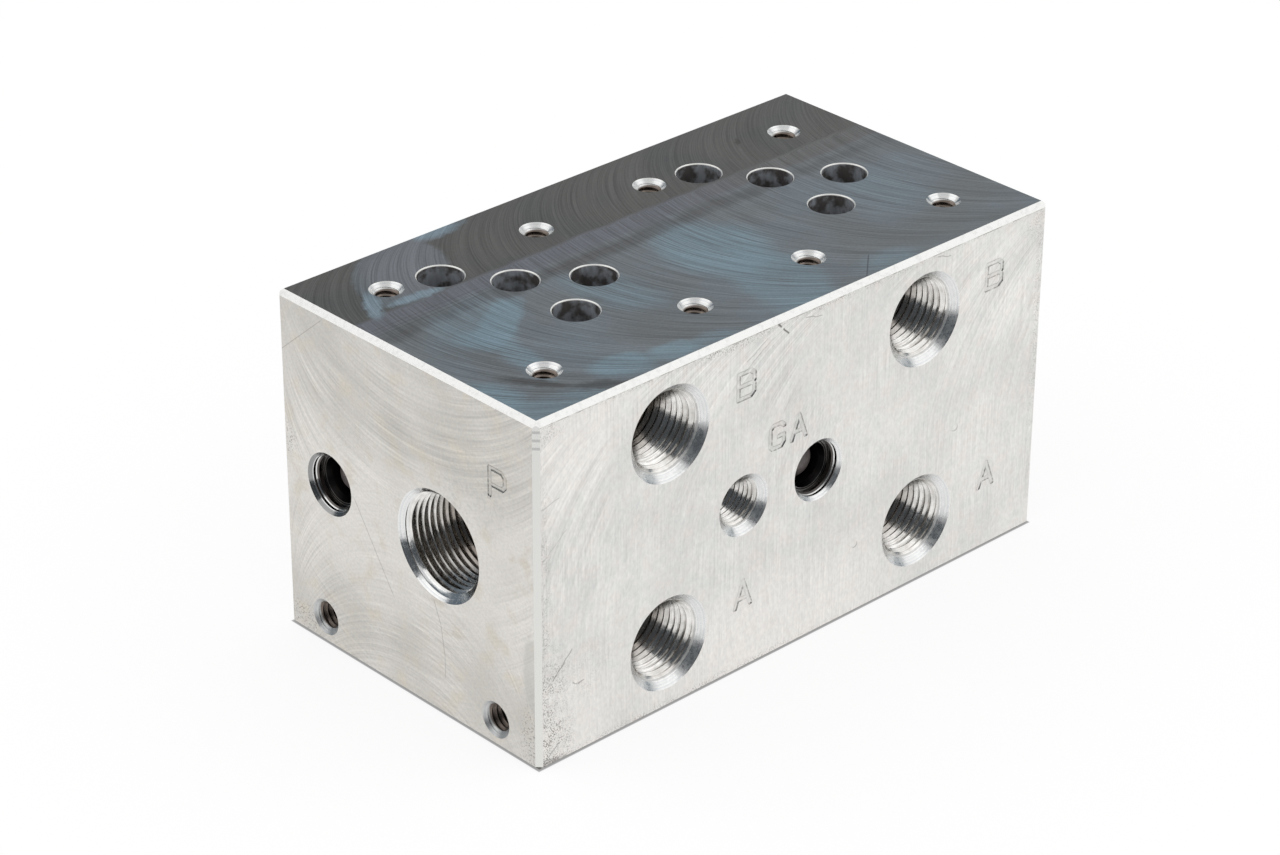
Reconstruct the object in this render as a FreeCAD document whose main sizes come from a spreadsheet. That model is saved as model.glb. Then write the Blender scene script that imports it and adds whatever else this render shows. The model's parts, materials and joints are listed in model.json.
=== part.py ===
import FreeCAD, Part
import math
import os

import Sketcher

# Two-station valve manifold: one block of aluminium bar with cross-drilled oil galleries.
# Frame in millimetres: +Z up, +X along the bar, origin at the centre of the underside.
# The pressure port is in the -X end, the tank port in the +X end, the work ports in the -Y side.

doc = FreeCAD.newDocument("hydraulic_manifold")
dims = doc.addObject("Spreadsheet::Sheet", "dims")

SIZES = [
    # stock and its broken edges
    ("block_length", 165.1),
    ("block_width", 88.9),
    ("block_height", 88.9),
    ("top_chamfer", 1.3),
    ("corner_chamfer", 1.25),
    ("bottom_chamfer", 0.8),
    # the two valve stations on the top face, places counted from the corner bolt
    ("station_pitch", 82.55),
    ("station_count", 2),
    ("bolt_spacing_x", 46.0),
    ("bolt_spacing_y", 54.0),
    ("bolt_drill_dia", 5.1),
    ("bolt_drill_depth", 19.0),
    ("bolt_mouth_dia", 8.2),
    ("valve_port_dia", 11.1),
    ("valve_port_mouth_dia", 11.6),
    ("valve_b_x", 24.6),
    ("valve_b_y", 16.7),
    ("valve_a_x", 24.6),
    ("valve_a_y", 37.3),
    ("valve_p_x", 39.7),
    ("valve_p_y", 27.0),
    ("valve_t_x", 13.5),
    ("valve_t_y", 50.8),
    # work ports A and B of each station, in the long side
    ("work_port_shift", -1.2),
    ("work_port_inset", 17.2),
    ("work_tap_dia", 17.9),
    ("work_tap_depth", 24.0),
    ("work_mouth_dia", 24.0),
    ("work_flow_dia", 12.7),
    # pressure and tank ports, in the two ends
    ("end_tap_dia", 23.4),
    ("end_tap_depth", 25.4),
    ("end_mouth_dia", 28.0),
    ("rail_height", 44.4),
    ("pressure_rail_y", -11.0),
    ("pressure_rail_dia", 19.0),
    ("pressure_rail_length", 68.0),
    ("tank_rail_y", 27.5),
    ("tank_rail_dia", 15.9),
    # gauge port, in the long side, tapped into the pressure rail
    ("gauge_port_x", 63.5),
    ("gauge_tap_dia", 11.1),
    ("gauge_tap_depth", 17.5),
    ("gauge_mouth_dia", 15.6),
    ("gauge_flow_dia", 6.4),
    # drillings that link the stations, closed by ball plugs
    ("link_dia", 11.1),
    ("link_stop_short", 1.0),
    ("cross_link_x", 87.9),
    ("second_link_y", -6.4),
    ("plug_mouth_dia", 15.8),
    ("plug_lead_dia", 14.0),
    ("plug_lead_depth", 1.6),
    ("plug_seat_dia", 12.9),
    ("plug_rim_depth", 3.6),
    ("sleeve_length", 12.5),
    ("sleeve_rim_wall", 0.6),
    ("sleeve_floor", 1.6),
    ("sleeve_funnel_depth", 1.5),
    ("ball_dia", 10.8),
    ("ball_squeeze", 0.2),
    ("ball_drop", 1.2),
    # tapped mounting holes in both ends
    ("mount_spacing", 60.7),
    ("mount_shift", 0.5),
    ("mount_height", 7.1),
    ("mount_drill_dia", 6.6),
    ("mount_drill_depth", 18.0),
    ("mount_mouth_dia", 9.2),
    # twist drill and countersink; a drilling overruns the passage that it opens into
    ("drill_overrun", 1.5),
    ("drill_point_angle", 118.0),
    ("countersink_angle", 90.0),
]

for row, (alias, value) in enumerate(SIZES, start=1):
    dims.set(f"A{row}", alias)
    dims.set(f"B{row}", str(value))
    dims.setAlias(f"B{row}", alias)
doc.recompute()

# Places worked out from the driving dimensions.
LEFT_END = "-dims.block_length / 2"
RIGHT_END = "dims.block_length / 2"
PORT_SIDE = "-dims.block_width / 2"
STATION_X = "-(dims.station_count - 1) * dims.station_pitch / 2"
CORNER_BOLT_X = f"({STATION_X} - dims.bolt_spacing_x / 2)"
CORNER_BOLT_Y = "(-dims.bolt_spacing_y / 2)"
LAST_STATION_SHIFT = "(dims.station_count - 1) * dims.station_pitch"
TANK_STATION_X = f"({CORNER_BOLT_X} + {LAST_STATION_SHIFT} + dims.valve_t_x)"


def origin_part(body, role):
    """The plane or axis of a body's own origin."""
    return next(f for f in body.Origin.OriginFeatures if f.Role == role)


def new_body(name):
    body = doc.addObject("PartDesign::Body", name)
    body.Label = name
    return body


def new_sketch(body, name, role, offset=("0", "0", "0"), turn=0.0):
    """A sketch on one of the body's origin planes, moved by three expressions and turned in its plane."""
    sketch = body.newObject("Sketcher::SketchObject", name)
    sketch.AttachmentSupport = [(origin_part(body, role), "")]
    sketch.MapMode = "FlatFace"
    rotation = FreeCAD.Rotation(FreeCAD.Vector(0, 0, 1), turn)
    sketch.AttachmentOffset = FreeCAD.Placement(FreeCAD.Vector(0, 0, 0), rotation)
    for axis, expression in zip("xyz", offset):
        sketch.setExpression(f"AttachmentOffset.Base.{axis}", expression)
    return sketch


def constrain(sketch, kind, name, expression, *place):
    """A named sketch dimension that follows an expression."""
    number = float(sketch.evalExpression(expression))
    index = sketch.addConstraint(Sketcher.Constraint(kind, *place, number))
    sketch.renameConstraint(index, name)
    sketch.setExpression(f"Constraints.{name}", expression)


def place_point(sketch, name, geometry, point, across, along):
    """Holds a point at two expressions from the sketch origin."""
    constrain(sketch, "DistanceX", f"{name}_across", across, -1, 1, geometry, point)
    constrain(sketch, "DistanceY", f"{name}_along", along, -1, 1, geometry, point)


def closed_outline(sketch, corners, name="corner"):
    """A closed outline of straight lines, each corner given by two expressions."""
    spots = [
        FreeCAD.Vector(float(sketch.evalExpression(a)), float(sketch.evalExpression(b)), 0)
        for a, b in corners
    ]
    lines = [
        sketch.addGeometry(Part.LineSegment(spot, spots[(k + 1) % len(spots)]), False)
        for k, spot in enumerate(spots)
    ]
    for k, line in enumerate(lines):
        following = lines[(k + 1) % len(lines)]
        sketch.addConstraint(Sketcher.Constraint("Coincident", line, 2, following, 1))
        place_point(sketch, f"{name}{k}", line, 1, *corners[k])


def drill_tip(diameter):
    """Expression for the height of the cone that a drill leaves past its full diameter."""
    return f"({diameter}) / 2 / tan(dims.drill_point_angle / 2)"


def cavity(body, name, corners, offset, turn):
    """Turned cavity: a half profile of (radius, depth) expressions, revolved about the depth axis."""
    profile = new_sketch(body, f"{name}_profile", "XY_Plane", offset, turn)
    closed_outline(profile, corners)
    groove = body.newObject("PartDesign::Groove", name)
    groove.Profile = profile
    groove.ReferenceAxis = (profile, ["V_Axis"])
    groove.Angle = 360.0
    return groove


def tapped_port(tap_dia, tap_depth, mouth_dia, flow_dia, flow_depth):
    """Half profile of a tapped port: countersunk mouth, tap drilling, smaller flow drilling behind."""
    mouth_end = f"({mouth_dia} - {tap_dia}) / 2 / tan(dims.countersink_angle / 2)"
    step_end = f"{tap_depth} + ({tap_dia} - {flow_dia}) / 2 / tan(dims.drill_point_angle / 2)"
    return [
        ("0", "0"),
        (f"{mouth_dia} / 2", "0"),
        (f"{tap_dia} / 2", mouth_end),
        (f"{tap_dia} / 2", tap_depth),
        (f"{flow_dia} / 2", step_end),
        (f"{flow_dia} / 2", flow_depth),
        ("0", f"{flow_depth} + {drill_tip(flow_dia)}"),
    ]


def plugged_drilling(depth):
    """Half profile of a plugged drilling: mouth, lead, plug seat with its shoulder, link drilling."""
    lead_start = "(dims.plug_mouth_dia - dims.plug_lead_dia) / 2 / tan(dims.countersink_angle / 2)"
    lead_end = (
        "dims.plug_lead_depth"
        " + (dims.plug_lead_dia - dims.plug_seat_dia) / 2 / tan(dims.countersink_angle / 2)"
    )
    shoulder = "dims.plug_rim_depth + dims.sleeve_length"
    return [
        ("0", "0"),
        ("dims.plug_mouth_dia / 2", "0"),
        ("dims.plug_lead_dia / 2", lead_start),
        ("dims.plug_lead_dia / 2", "dims.plug_lead_depth"),
        ("dims.plug_seat_dia / 2", lead_end),
        ("dims.plug_seat_dia / 2", shoulder),
        ("dims.link_dia / 2", shoulder),
        ("dims.link_dia / 2", depth),
        ("0", f"{depth} + {drill_tip('dims.link_dia')}"),
    ]


def drilled(body, name, sketch, diameter, depth, mouth_dia):
    """Countersunk blind drillings at the circles of a sketch."""
    hole = body.newObject("PartDesign::Hole", name)
    hole.Profile = sketch
    hole.Threaded = False
    hole.DepthType = "Dimension"
    hole.DrillPoint = "Angled"
    hole.DrillForDepth = False
    hole.HoleCutType = "Countersink"
    hole.HoleCutCustomValues = True
    hole.setExpression("Diameter", diameter)
    hole.setExpression("Depth", depth)
    hole.setExpression("DrillPointAngle", "dims.drill_point_angle")
    hole.setExpression("HoleCutDiameter", mouth_dia)
    hole.setExpression("HoleCutCountersinkAngle", "dims.countersink_angle")
    return hole


def circles(sketch, spots, diameter):
    """Circles of one diameter, each centre given by two expressions."""
    radius = float(sketch.evalExpression(diameter)) / 2
    for k, (across, along) in enumerate(spots):
        centre = FreeCAD.Vector(
            float(sketch.evalExpression(across)), float(sketch.evalExpression(along)), 0
        )
        circle = sketch.addGeometry(Part.Circle(centre, FreeCAD.Vector(0, 0, 1), radius), False)
        place_point(sketch, f"centre{k}", circle, 3, across, along)
        constrain(sketch, "Diameter", f"hole_dia{k}", diameter, circle)


# The block: bar stock with its four upright corners bevelled, then the top and bottom edges.
block = new_body("manifold_body")

outline = new_sketch(block, "stock_outline", "XY_Plane")
half_x = "dims.block_length / 2"
half_y = "dims.block_width / 2"
bevel = "dims.corner_chamfer"
closed_outline(
    outline,
    [
        (f"-{half_x} + {bevel}", f"-{half_y}"),
        (f"{half_x} - {bevel}", f"-{half_y}"),
        (half_x, f"-{half_y} + {bevel}"),
        (half_x, f"{half_y} - {bevel}"),
        (f"{half_x} - {bevel}", half_y),
        (f"-{half_x} + {bevel}", half_y),
        (f"-{half_x}", f"{half_y} - {bevel}"),
        (f"-{half_x}", f"-{half_y} + {bevel}"),
    ],
)
stock = block.newObject("PartDesign::Pad", "stock")
stock.Profile = outline
stock.setExpression("Length", "dims.block_height")
doc.recompute()


def broken_edges(name, role, half_across):
    """Bevels cut along the whole block at the top and bottom edges that run through a plane."""
    sketch = new_sketch(block, f"{name}_outline", role)
    for side, sign in (("low", "-"), ("high", "")):
        outward = f"{sign}({half_across})"
        for level, z, size, inward_z in (
            ("top", "dims.block_height", "dims.top_chamfer", "-"),
            ("bottom", "0", "dims.bottom_chamfer", "+"),
        ):
            inward = f"{sign}({half_across} - {size})"
            closed_outline(
                sketch,
                [(outward, z), (inward, z), (outward, f"{z} {inward_z} {size}")],
                f"{side}_{level}",
            )
    bevels = block.newObject("PartDesign::Pocket", name)
    bevels.Profile = sketch
    bevels.Type = "ThroughAll"
    bevels.Midplane = True
    return bevels


broken_edges("long_edges", "YZ_Plane", "dims.block_width / 2")
broken_edges("short_edges", "XZ_Plane", "dims.block_length / 2")
doc.recompute()

# First valve station: four tapped bolt holes and the B, A, P and T ports in the top face.
bolt_sketch = new_sketch(block, "bolt_spots", "XY_Plane", ("0", "0", "dims.block_height"))
circles(
    bolt_sketch,
    [
        (CORNER_BOLT_X, CORNER_BOLT_Y),
        (f"{CORNER_BOLT_X} + dims.bolt_spacing_x", CORNER_BOLT_Y),
        (CORNER_BOLT_X, f"{CORNER_BOLT_Y} + dims.bolt_spacing_y"),
        (f"{CORNER_BOLT_X} + dims.bolt_spacing_x", f"{CORNER_BOLT_Y} + dims.bolt_spacing_y"),
    ],
    "dims.bolt_drill_dia",
)
doc.recompute()
station = [
    drilled(
        block,
        "valve_bolt_holes",
        bolt_sketch,
        "dims.bolt_drill_dia",
        "dims.bolt_drill_depth",
        "dims.bolt_mouth_dia",
    )
]

# Each valve port goes down through the passage that it feeds and a little past it.
RAIL_DEPTH = "(dims.block_height - dims.rail_height)"
PAST_WORK_FLOW = "dims.work_flow_dia / 2 + dims.drill_overrun"
PAST_LINK = "dims.link_dia / 2 + dims.drill_overrun"
VALVE_PORTS = {
    "b": f"dims.work_port_inset + {PAST_WORK_FLOW}",
    "a": f"dims.block_height - dims.work_port_inset + {PAST_WORK_FLOW}",
    "p": f"{RAIL_DEPTH} + {PAST_LINK}",
    "t": f"{RAIL_DEPTH} + {PAST_LINK}",
}
for letter, depth in VALVE_PORTS.items():
    doc.recompute()
    spot = new_sketch(block, f"valve_{letter}_spot", "XY_Plane", ("0", "0", "dims.block_height"))
    centre = (
        f"{CORNER_BOLT_X} + dims.valve_{letter}_x",
        f"{CORNER_BOLT_Y} + dims.valve_{letter}_y",
    )
    circles(spot, [centre], "dims.valve_port_dia")
    doc.recompute()
    station.append(
        drilled(
            block,
            f"valve_port_{letter}",
            spot,
            "dims.valve_port_dia",
            depth,
            "dims.valve_port_mouth_dia",
        )
    )

# Work ports of the first station: each flow drilling ends just past its upright valve port.
WORK_PORTS = {
    "b": "dims.block_height - dims.work_port_inset",
    "a": "dims.work_port_inset",
}
for letter, height in WORK_PORTS.items():
    doc.recompute()
    reach = (
        f"dims.block_width / 2 + {CORNER_BOLT_Y} + dims.valve_{letter}_y"
        " + dims.valve_port_dia / 2 - "
        + drill_tip("dims.work_flow_dia")
    )
    station.append(
        cavity(
            block,
            f"work_port_{letter}",
            tapped_port(
                "dims.work_tap_dia",
                "dims.work_tap_depth",
                "dims.work_mouth_dia",
                "dims.work_flow_dia",
                reach,
            ),
            (f"{STATION_X} + dims.work_port_shift", PORT_SIDE, height),
            0.0,
        )
    )
doc.recompute()

# The other station repeats the first one along the bar.
stations = block.newObject("PartDesign::LinearPattern", "stations")
stations.Originals = station
stations.Direction = (origin_part(block, "X_Axis"), [""])
stations.setExpression("Length", LAST_STATION_SHIFT)
stations.setExpression("Occurrences", "dims.station_count")
block.Tip = stations
doc.recompute()

# Pressure port and rail in the left end, tank port and rail in the right end.
cavity(
    block,
    "pressure_port",
    tapped_port(
        "dims.end_tap_dia",
        "dims.end_tap_depth",
        "dims.end_mouth_dia",
        "dims.pressure_rail_dia",
        "dims.pressure_rail_length",
    ),
    (LEFT_END, "dims.pressure_rail_y", "dims.rail_height"),
    -90.0,
)
cavity(
    block,
    "tank_port",
    tapped_port(
        "dims.end_tap_dia",
        "dims.end_tap_depth",
        "dims.end_mouth_dia",
        "dims.tank_rail_dia",
        f"{RIGHT_END} - {TANK_STATION_X} + dims.valve_port_dia / 2",
    ),
    (RIGHT_END, "dims.tank_rail_y", "dims.rail_height"),
    90.0,
)

# Gauge port: its small flow drilling opens into the pressure rail.
cavity(
    block,
    "gauge_port",
    tapped_port(
        "dims.gauge_tap_dia",
        "dims.gauge_tap_depth",
        "dims.gauge_mouth_dia",
        "dims.gauge_flow_dia",
        "dims.block_width / 2 + dims.pressure_rail_y",
    ),
    (f"{LEFT_END} + dims.gauge_port_x", PORT_SIDE, "dims.rail_height"),
    0.0,
)

# Three plugged drillings carry the first station's return oil over to the second station.
CROSS_X = f"({LEFT_END} + dims.cross_link_x)"
PLUGS = {
    "side_plug": {
        "drilling": "cross_link",
        "mouth": (CROSS_X, PORT_SIDE, "dims.rail_height"),
        "depth": f"dims.block_width / 2 + dims.tank_rail_y + {PAST_LINK}",
        "turn": 0.0,
        "inward": (0, 1, 0),
    },
    "left_end_plug": {
        "drilling": "first_link",
        "mouth": (LEFT_END, "dims.tank_rail_y", "dims.rail_height"),
        "depth": "dims.cross_link_x - dims.link_stop_short",
        "turn": -90.0,
        "inward": (1, 0, 0),
    },
    "right_end_plug": {
        "drilling": "second_link",
        "mouth": (RIGHT_END, "dims.second_link_y", "dims.rail_height"),
        "depth": "dims.block_length - dims.cross_link_x - dims.link_stop_short",
        "turn": 90.0,
        "inward": (-1, 0, 0),
    },
}
for plug in PLUGS.values():
    cavity(block, plug["drilling"], plugged_drilling(plug["depth"]), plug["mouth"], plug["turn"])
doc.recompute()

# Two tapped mounting holes low in one end, and the same two in the other with the block turned about.
mount_sketch = new_sketch(block, "mount_spots", "YZ_Plane", ("0", "0", RIGHT_END))
circles(
    mount_sketch,
    [
        ("-dims.mount_shift - dims.mount_spacing / 2", "dims.mount_height"),
        ("-dims.mount_shift + dims.mount_spacing / 2", "dims.mount_height"),
    ],
    "dims.mount_drill_dia",
)
doc.recompute()
mount_holes = drilled(
    block,
    "mount_holes",
    mount_sketch,
    "dims.mount_drill_dia",
    "dims.mount_drill_depth",
    "dims.mount_mouth_dia",
)
doc.recompute()
both_ends = block.newObject("PartDesign::PolarPattern", "mount_holes_in_both_ends")
both_ends.Originals = [mount_holes]
both_ends.Axis = (origin_part(block, "Z_Axis"), [""])
both_ends.Angle = 360.0
both_ends.Occurrences = 2
block.Tip = both_ends
doc.recompute()


def plug_sleeve(name):
    """Cup of a ball plug, turned from steel: rim outwards along +Z, with the band that grips the ball."""
    body = new_body(name)
    profile = new_sketch(body, f"{name}_profile", "XZ_Plane")
    outer = "dims.plug_seat_dia / 2"
    grip = "dims.ball_dia / 2 - dims.ball_squeeze"
    closed_outline(
        profile,
        [
            ("0", "-dims.sleeve_length"),
            (outer, "-dims.sleeve_length"),
            (outer, "0"),
            (f"{outer} - dims.sleeve_rim_wall", "0"),
            (grip, "-dims.sleeve_funnel_depth"),
            (grip, "-dims.sleeve_length + dims.sleeve_floor"),
            ("0", "-dims.sleeve_length + dims.sleeve_floor"),
        ],
    )
    cup = body.newObject("PartDesign::Revolution", f"{name}_cup")
    cup.Profile = profile
    cup.ReferenceAxis = (profile, ["V_Axis"])
    cup.Angle = 360.0
    doc.recompute()

    seat = new_sketch(body, f"{name}_seat", "XZ_Plane")
    radius = float(seat.evalExpression("dims.ball_dia")) / 2
    depth = float(seat.evalExpression("dims.ball_drop")) + radius
    middle = FreeCAD.Vector(0, -depth, 0)
    circle = Part.Circle(middle, FreeCAD.Vector(0, 0, 1), radius)
    arc = seat.addGeometry(Part.ArcOfCircle(circle, -math.pi / 2, math.pi / 2), False)
    low = FreeCAD.Vector(0, -depth - radius, 0)
    high = FreeCAD.Vector(0, -depth + radius, 0)
    chord = seat.addGeometry(Part.LineSegment(high, low), False)
    seat.addConstraint(Sketcher.Constraint("Coincident", arc, 2, chord, 1))
    seat.addConstraint(Sketcher.Constraint("Coincident", chord, 2, arc, 1))
    seat.addConstraint(Sketcher.Constraint("PointOnObject", arc, 3, -2))
    seat.addConstraint(Sketcher.Constraint("PointOnObject", arc, 1, -2))
    seat.addConstraint(Sketcher.Constraint("PointOnObject", arc, 2, -2))
    constrain(seat, "Radius", "ball_radius", "dims.ball_dia / 2", arc)
    constrain(
        seat, "DistanceY", "ball_depth", "-dims.ball_drop - dims.ball_dia / 2", -1, 1, arc, 3
    )
    dent = body.newObject("PartDesign::Groove", f"{name}_ball_seat")
    dent.Profile = seat
    dent.ReferenceAxis = (seat, ["V_Axis"])
    dent.Angle = 360.0
    doc.recompute()
    return body


def plug_ball(name):
    """Steel ball pressed into the cup."""
    ball = doc.addObject("Part::Sphere", name)
    ball.Label = name
    ball.setExpression("Radius", "dims.ball_dia / 2")
    return ball


def put(piece, mouth, inward, depth):
    """Places a piece on a drilling's axis, at a depth from its mouth, with +Z out of the mouth."""
    outward = FreeCAD.Vector(*inward) * -1
    piece.Placement = FreeCAD.Placement(
        FreeCAD.Vector(0, 0, 0), FreeCAD.Rotation(FreeCAD.Vector(0, 0, 1), outward)
    )
    for axis, start, way in zip("xyz", mouth, inward):
        piece.setExpression(f"Placement.Base.{axis}", f"{start} + ({way}) * ({depth})")


pieces = [block]
for name, plug in PLUGS.items():
    sleeve = plug_sleeve(f"{name}_sleeve")
    put(sleeve, plug["mouth"], plug["inward"], "dims.plug_rim_depth")
    ball = plug_ball(f"{name}_ball")
    ball_depth = "dims.plug_rim_depth + dims.ball_drop + dims.ball_dia / 2"
    put(ball, plug["mouth"], plug["inward"], ball_depth)
    pieces += [sleeve, ball]
doc.recompute()

for item in doc.Objects:
    bad = [state for state in item.State if state in ("Invalid", "Error")]
    if bad:
        raise RuntimeError(f"{item.Label}: {bad}")
for piece in pieces:
    if piece.Shape.isNull() or not piece.Shape.isValid() or len(piece.Shape.Solids) != 1:
        raise RuntimeError(f"{piece.Label} isn't one valid solid")

os.makedirs("parts", exist_ok=True)
for piece in pieces:
    piece.Shape.exportStep(f"parts/{piece.Label}.step")
    print(f"{piece.Label}: {piece.Shape.Volume / 1000:.2f} cm3")
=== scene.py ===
import json
import math

import bmesh
import bpy
import numpy as np
from mathutils import Matrix, Vector


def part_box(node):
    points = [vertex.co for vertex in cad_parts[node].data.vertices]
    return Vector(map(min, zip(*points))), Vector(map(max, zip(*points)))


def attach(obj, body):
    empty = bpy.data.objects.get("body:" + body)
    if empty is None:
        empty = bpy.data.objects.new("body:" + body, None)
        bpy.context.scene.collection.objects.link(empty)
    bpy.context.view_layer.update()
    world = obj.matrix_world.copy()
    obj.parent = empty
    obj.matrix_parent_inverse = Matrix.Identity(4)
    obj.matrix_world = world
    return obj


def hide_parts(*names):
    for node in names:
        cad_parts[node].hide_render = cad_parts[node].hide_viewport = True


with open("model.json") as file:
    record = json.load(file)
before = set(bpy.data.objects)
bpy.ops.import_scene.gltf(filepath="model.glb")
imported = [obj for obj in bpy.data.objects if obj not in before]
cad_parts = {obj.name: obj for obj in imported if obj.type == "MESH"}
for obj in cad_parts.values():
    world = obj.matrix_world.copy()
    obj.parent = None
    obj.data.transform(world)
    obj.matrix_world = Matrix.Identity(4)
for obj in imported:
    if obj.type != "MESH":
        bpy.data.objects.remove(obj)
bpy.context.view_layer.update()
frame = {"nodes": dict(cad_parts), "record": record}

MM = 0.001


# The block
# A length of square aluminium bar, milled on its six faces and bevelled along every edge. It is
# taken from the construction model with all its drillings, and tapped and marked here.
low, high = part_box("manifold_body")


def in_scene(name, data):
    """A new object in the scene."""
    made = bpy.data.objects.new(name, data)
    bpy.context.scene.collection.objects.link(made)
    return made


def copy_of_node(node, name):
    """A copy of a construction node as one welded mesh, without the node's own shading."""
    welded = bmesh.new()
    welded.from_mesh(frame["nodes"][node].data)
    bmesh.ops.remove_doubles(welded, verts=welded.verts, dist=0.001 * MM)
    mesh = bpy.data.meshes.new(name)
    mesh.from_pydata(
        [vertex.co for vertex in welded.verts],
        [],
        [[vertex.index for vertex in face.verts] for face in welded.faces],
    )
    welded.free()
    return in_scene(name, mesh)


block = copy_of_node("manifold_body", "tapped_block")


# The mouths
# Each hole was opened with a countersink, the oil passages of the valve face were reamed, and the
# plug bores were stepped down to their seats. The turned cutters have many sides, for round rims.
def fill(tree, node, sockets):
    """Fills a node's sockets with values or links."""
    for key, value in sockets.items():
        if isinstance(value, bpy.types.NodeSocket):
            tree.links.new(value, node.inputs[key])
        else:
            node.inputs[key].default_value = value


def add_node(tree, kind, sockets=None, **options):
    """Adds a node, sets its options, fills its sockets and gives its outputs."""
    made = tree.nodes.new(kind)
    for name, value in options.items():
        setattr(made, name, value)
    fill(tree, made, sockets or {})
    return made.outputs


def calc(tree, operation, *values):
    """The result of one Math node on numbers or sockets."""
    return add_node(tree, "ShaderNodeMath", dict(enumerate(values)), operation=operation)[0]


def folded(operation):
    """A function that works a row of values into one with Math nodes of one kind."""

    def fold(tree, result, *others):
        for value in others:
            result = calc(tree, operation, result, value)
        return result

    return fold


product, less, total = folded("MULTIPLY"), folded("SUBTRACT"), folded("ADD")
largest, smallest = folded("MAXIMUM"), folded("MINIMUM")


def vector_of(tree, x, y, z=0):
    """A vector made of three numbers or sockets."""
    return add_node(tree, "ShaderNodeCombineXYZ", {0: x, 1: y, 2: z})[0]


def tool_tree(name, sizes):
    """A geometry tree for cutters of some sizes, set in holes of a start mesh, and its inputs."""
    tree = bpy.data.node_groups.new(name, "GeometryNodeTree")
    kinds = {"Holes": "Geometry", "Into": "Vector", "Sides": "Int", "Finish": "Material"}
    kinds.update(dict.fromkeys(sizes, "Float"))
    for label, kind in kinds.items():
        tree.interface.new_socket(label, in_out="INPUT", socket_type="NodeSocket" + kind)
    tree.interface.new_socket("Tools", in_out="OUTPUT", socket_type="NodeSocketGeometry")
    return tree, add_node(tree, "NodeGroupInput")


def flat_grid(tree, given, rows):
    """A grid to wind round an axis, the row of each of its points, and its share of one turn."""
    columns = total(tree, given["Sides"], 1)
    grid = add_node(tree, "GeometryNodeMeshGrid", {"Vertices X": rows, "Vertices Y": columns})
    index = add_node(tree, "GeometryNodeInputIndex")[0]
    row = calc(tree, "FLOOR", calc(tree, "DIVIDE", total(tree, index, 0.5), columns))
    column = less(tree, index, product(tree, row, columns))
    return grid["Mesh"], row, calc(tree, "DIVIDE", column, given["Sides"])


WELD_DISTANCE = 0.002 * MM


def wind_into_holes(tree, given, grid, around, radius, depth):
    """Winds a grid to a closed cutter of given radii and depths, and sets one in every hole."""
    angle = product(tree, around, 2 * math.pi)
    x = product(tree, radius, calc(tree, "COSINE", angle))
    y = product(tree, radius, calc(tree, "SINE", angle))
    position = vector_of(tree, x, y, depth)
    wound = add_node(tree, "GeometryNodeSetPosition", {"Geometry": grid, "Position": position})[0]
    closed = {"Geometry": wound, "Distance": WELD_DISTANCE}
    closed = add_node(tree, "GeometryNodeMergeByDistance", closed)[0]
    tool = add_node(tree, "GeometryNodeFlipFaces", {"Mesh": closed})[0]
    aim = {"Vector": given["Into"]}
    aim = add_node(tree, "FunctionNodeAlignRotationToVector", aim, axis="Z")[0]
    placed = {"Points": given["Holes"], "Instance": tool, "Rotation": aim}
    placed = add_node(tree, "GeometryNodeInstanceOnPoints", placed)[0]
    real = add_node(tree, "GeometryNodeRealizeInstances", {"Geometry": placed})[0]
    painted = {"Geometry": real, "Material": given["Finish"]}
    painted = add_node(tree, "GeometryNodeSetMaterial", painted)[0]
    add_node(tree, "NodeGroupOutput", {"Tools": painted})


def by_row(tree, row, values):
    """The one of several values that belongs to a row of a grid."""
    choice = tree.nodes.new("GeometryNodeIndexSwitch")
    choice.data_type = "FLOAT"
    for _ in values[2:]:
        choice.index_switch_items.new()
    fill(tree, choice, dict(enumerate((row, *values))))
    return choice.outputs[0]


def countersink_tree():
    """A turned cutter: a cone from outside the face to a lead, and a second cone to a seat."""
    sizes = ("Mouth Radius", "Lead Radius", "Lead Depth", "Seat Radius", "Depth")
    tree, given = tool_tree("countersink", sizes)
    mouth, lead, lead_depth, seat, depth = map(given.get, sizes)
    grid, row, around = flat_grid(tree, given, 7)
    outside = 1 * MM
    rim = total(tree, mouth, outside)
    cone_end = less(tree, mouth, lead)
    seat_start = total(tree, lead_depth, less(tree, lead, seat))
    radius = by_row(tree, row, (0.0, rim, lead, lead, seat, seat, 0.0))
    places = (-outside, -outside, cone_end, lead_depth, seat_start, depth, depth)
    wind_into_holes(tree, given, grid, around, radius, by_row(tree, row, places))
    return tree


def bake(piece, modifier):
    """Turns a piece with a modifier into a plain mesh."""
    evaluated = piece.evaluated_get(bpy.context.evaluated_depsgraph_get())
    result = bpy.data.meshes.new_from_object(evaluated)
    piece.modifiers.remove(modifier)
    piece.data = result


def grown(name, tree, places, values):
    """A plain mesh made by a geometry tree at some places, with values for the tree's inputs."""
    points = bpy.data.meshes.new(name)
    points.from_pydata(places, [], [])
    piece = in_scene(name, points)
    growth = piece.modifiers.new(name, "NODES")
    growth.node_group = tree
    for socket in tree.interface.items_tree:
        if socket.name in values:
            growth[socket.identifier] = values[socket.name]
    bake(piece, growth)
    return piece


def combine(body, tool, operation):
    """Takes a closed tool out of a body, or joins it on, then deletes the tool."""
    cut = body.modifiers.new("cut", "BOOLEAN")
    cut.operation = operation
    cut.solver = "MANIFOLD"
    cut.object = tool
    bake(body, cut)
    bpy.data.objects.remove(tool)


def mouth_of(place, into):
    """The point where a hole's axis leaves the block."""
    place = Vector(place)
    for side in range(3):
        if abs(into[side]) > 0.5:
            place[side] = low[side] if into[side] > 0 else high[side]
    return place


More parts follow.
